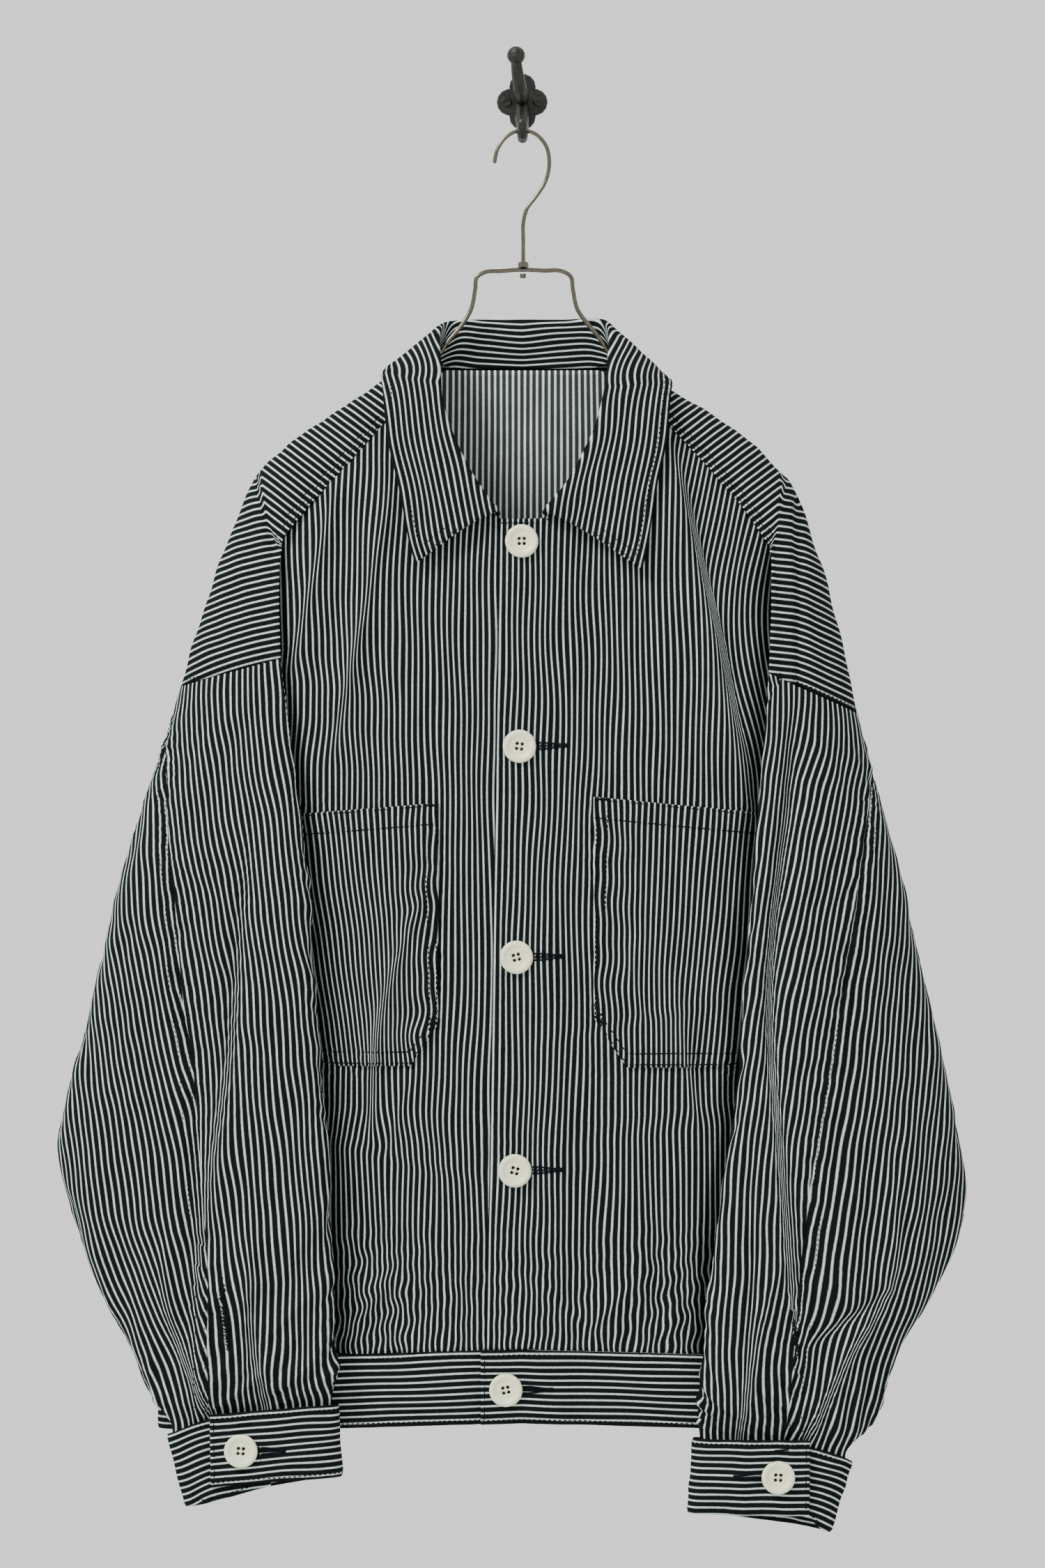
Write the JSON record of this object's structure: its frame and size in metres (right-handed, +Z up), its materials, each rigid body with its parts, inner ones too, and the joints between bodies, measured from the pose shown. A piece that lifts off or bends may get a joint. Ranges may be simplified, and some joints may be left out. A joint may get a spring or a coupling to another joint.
{
  "type": "shirt jacket on a wire hanger and wall hook",
  "caption": "Button-front shirt jacket in narrow striped twill with chest-level patch pockets and a hem band, hanging closed on a wire hanger from a cast wall hook",
  "frame": {"origin": "on the back face of the wall hook's plate, at its centre; the wall is the plane y = 0", "axes": "+Z up, +Y into the wall, +X to the right as seen from the front; the garment hangs on the -Y side"},
  "size_m": [0.6016, 0.0903, 0.987],
  "materials": {
    "cloth": "washed cotton twill with narrow dark and off-white stripes",
    "button": "ivory, softly polished",
    "steel": "bright wire",
    "iron": "black, lightly worn"
  },
  "bodies": {
    "root": {"back": "cloth", "front_left": "cloth", "front_right": "cloth", "shoulder_left": "cloth", "shoulder_right": "cloth", "sleeve_left": "cloth", "sleeve_right": "cloth", "cuff_left": "cloth", "cuff_right": "cloth", "collar": "cloth", "pocket_left": "cloth", "pocket_right": "cloth", "hem_band": "cloth", "button_1": "button", "button_2": "button", "button_3": "button", "button_4": "button", "button_hem": "button", "button_cuff_left": "button", "button_cuff_right": "button", "hanger_hook": "steel", "hanger_nut": "steel", "hanger_frame": "steel", "hanger_rivet": "steel", "wall_hook": "iron", "screw_left": "iron", "screw_right": "iron"}
  },
  "joints": []
}
